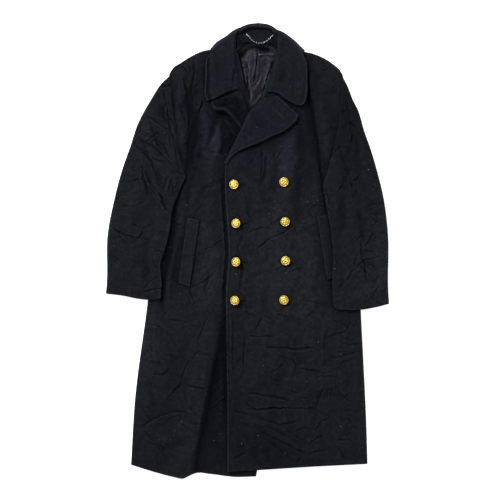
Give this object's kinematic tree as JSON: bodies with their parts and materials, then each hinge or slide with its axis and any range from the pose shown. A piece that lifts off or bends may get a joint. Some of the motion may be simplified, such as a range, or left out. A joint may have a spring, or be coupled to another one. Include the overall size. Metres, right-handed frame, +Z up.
{
  "type": "overcoat",
  "caption": "Long double-breasted wool overcoat laid flat on its back, with a wide turn-down collar, notched lapels, slanted welt pockets and domed shank buttons.",
  "frame": {"origin": "middle of the coat's outline, on the surface that it lies on", "axes": "+X to the wearer's left, +Y from the hem to the collar, +Z up from the surface"},
  "size_m": [0.722, 1.1607, 0.0247],
  "materials": {
    "melton": "matt, heavy milled wool, near-black navy",
    "lining": "satin weave, slate with a violet cast",
    "gilt": "polished gilt",
    "steel": "nickelled"
  },
  "bodies": {
    "root": {"back": "melton", "right_front": "melton", "left_front": "melton", "right_facing": "melton", "left_facing": "melton", "collar": "melton", "collar_stand": "melton", "right_top_sleeve": "melton", "right_under_sleeve": "melton", "left_top_sleeve": "melton", "left_under_sleeve": "melton", "right_pocket_welt": "melton", "left_pocket_welt": "melton", "back_lining": "lining", "button_right_1": "gilt", "button_right_2": "gilt", "button_right_3": "gilt", "button_right_4": "gilt", "button_left_1": "gilt", "button_left_2": "gilt", "button_left_3": "gilt", "button_left_4": "gilt", "hanger_chain": "steel", "chain_plate_right": "steel", "chain_plate_left": "steel"}
  },
  "joints": []
}
